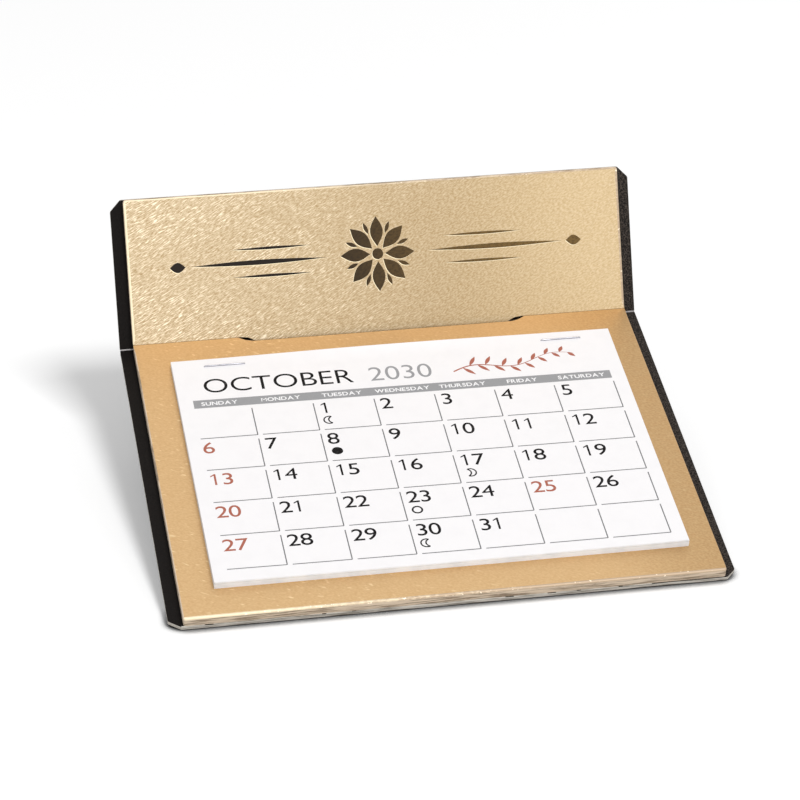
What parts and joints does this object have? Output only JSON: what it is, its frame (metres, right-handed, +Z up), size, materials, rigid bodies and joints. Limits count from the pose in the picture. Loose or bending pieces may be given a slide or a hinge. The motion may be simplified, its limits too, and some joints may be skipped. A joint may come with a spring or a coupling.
{
  "type": "desk calendar",
  "caption": "Fold-up easel desk calendar: brushed gold header and sloping platform on a creased black board with a riser flap, carrying a stapled pad of month sheets.",
  "frame": {"origin": "centre of the footprint, on the desk", "axes": "+X along the width, to the reader's right; +Y to the rear; +Z up"},
  "size_m": [0.1618, 0.1376, 0.0753],
  "materials": {
    "gold_foil": "brushed foil on paper",
    "chipboard": "raw board",
    "black_board": "grained black paper on board",
    "paper": "uncoated white",
    "staple_wire": "bright wire"
  },
  "bodies": {
    "platform": {"platform_core": "chipboard", "platform_foil": "gold_foil", "platform_backing": "black_board", "pad_bound_edge": "paper", "staple_left": "staple_wire", "staple_right": "staple_wire"},
    "header": {"header_core": "chipboard", "header_foil": "gold_foil", "header_backing": "black_board"},
    "sheet_01": {"sheet_01": "paper"},
    "sheet_02": {"sheet_02": "paper"},
    "sheet_03": {"sheet_03": "paper"},
    "sheet_04": {"sheet_04": "paper"},
    "sheet_05": {"sheet_05": "paper"},
    "sheet_06": {"sheet_06": "paper"},
    "sheet_07": {"sheet_07": "paper"},
    "sheet_08": {"sheet_08": "paper"},
    "sheet_09": {"sheet_09": "paper"},
    "sheet_10": {"sheet_10": "paper"},
    "sheet_11": {"sheet_11": "paper"},
    "sheet_12": {"sheet_12": "paper"},
    "sheet_13": {"sheet_13": "paper"}
  },
  "joints": [
    {"name": "easel_fold", "type": "hinge", "parent": "platform", "child": "header", "pos_m": [0, 0.05201, 0.03129], "axis": [-1, 0, 0], "range_deg": [0, 56.3]},
    {"name": "pad_fan", "type": "hinge", "parent": "platform", "child": "sheet_02", "pos_m": [0, 0.03187, 0.03106], "axis": [-1, 0, 0], "range_deg": [0, 45]},
    {"name": "sheet_03_fan", "type": "hinge", "parent": "platform", "child": "sheet_03", "pos_m": [0, 0.03164, 0.03084], "axis": [-1, 0, 0], "range_deg": [0, 41.26]},
    {"name": "sheet_04_fan", "type": "hinge", "parent": "platform", "child": "sheet_04", "pos_m": [0, 0.03141, 0.03062], "axis": [-1, 0, 0], "range_deg": [0, 37.51]},
    {"name": "sheet_05_fan", "type": "hinge", "parent": "platform", "child": "sheet_05", "pos_m": [0, 0.03117, 0.0304], "axis": [-1, 0, 0], "range_deg": [0, 33.76]},
    {"name": "sheet_06_fan", "type": "hinge", "parent": "platform", "child": "sheet_06", "pos_m": [0, 0.03094, 0.03017], "axis": [-1, 0, 0], "range_deg": [0, 30.01]},
    {"name": "sheet_07_fan", "type": "hinge", "parent": "platform", "child": "sheet_07", "pos_m": [0, 0.03071, 0.02995], "axis": [-1, 0, 0], "range_deg": [0, 26.26]},
    {"name": "sheet_08_fan", "type": "hinge", "parent": "platform", "child": "sheet_08", "pos_m": [0, 0.03047, 0.02973], "axis": [-1, 0, 0], "range_deg": [0, 22.51]},
    {"name": "sheet_09_fan", "type": "hinge", "parent": "platform", "child": "sheet_09", "pos_m": [0, 0.03024, 0.02951], "axis": [-1, 0, 0], "range_deg": [0, 18.76]},
    {"name": "sheet_10_fan", "type": "hinge", "parent": "platform", "child": "sheet_10", "pos_m": [0, 0.03001, 0.02928], "axis": [-1, 0, 0], "range_deg": [0, 15.01]},
    {"name": "sheet_11_fan", "type": "hinge", "parent": "platform", "child": "sheet_11", "pos_m": [0, 0.02977, 0.02906], "axis": [-1, 0, 0], "range_deg": [0, 11.26]},
    {"name": "sheet_12_fan", "type": "hinge", "parent": "platform", "child": "sheet_12", "pos_m": [0, 0.02954, 0.02884], "axis": [-1, 0, 0], "range_deg": [0, 7.51]},
    {"name": "sheet_13_fan", "type": "hinge", "parent": "platform", "child": "sheet_13", "pos_m": [0, 0.02931, 0.02862], "axis": [-1, 0, 0], "range_deg": [0, 3.76]},
    {"name": "front_sheet_lift", "type": "hinge", "parent": "sheet_02", "child": "sheet_01", "pos_m": [0, 0.03164, 0.03117], "axis": [-1, 0, 0], "range_deg": [0, 85]}
  ],
  "couplings": [
    {"joint": "sheet_03_fan", "follows": "pad_fan", "ratio": 0.91667},
    {"joint": "sheet_04_fan", "follows": "pad_fan", "ratio": 0.83333},
    {"joint": "sheet_05_fan", "follows": "pad_fan", "ratio": 0.75},
    {"joint": "sheet_06_fan", "follows": "pad_fan", "ratio": 0.66667},
    {"joint": "sheet_07_fan", "follows": "pad_fan", "ratio": 0.58333},
    {"joint": "sheet_08_fan", "follows": "pad_fan", "ratio": 0.5},
    {"joint": "sheet_09_fan", "follows": "pad_fan", "ratio": 0.41667},
    {"joint": "sheet_10_fan", "follows": "pad_fan", "ratio": 0.33333},
    {"joint": "sheet_11_fan", "follows": "pad_fan", "ratio": 0.25},
    {"joint": "sheet_12_fan", "follows": "pad_fan", "ratio": 0.16667},
    {"joint": "sheet_13_fan", "follows": "pad_fan", "ratio": 0.083333}
  ]
}
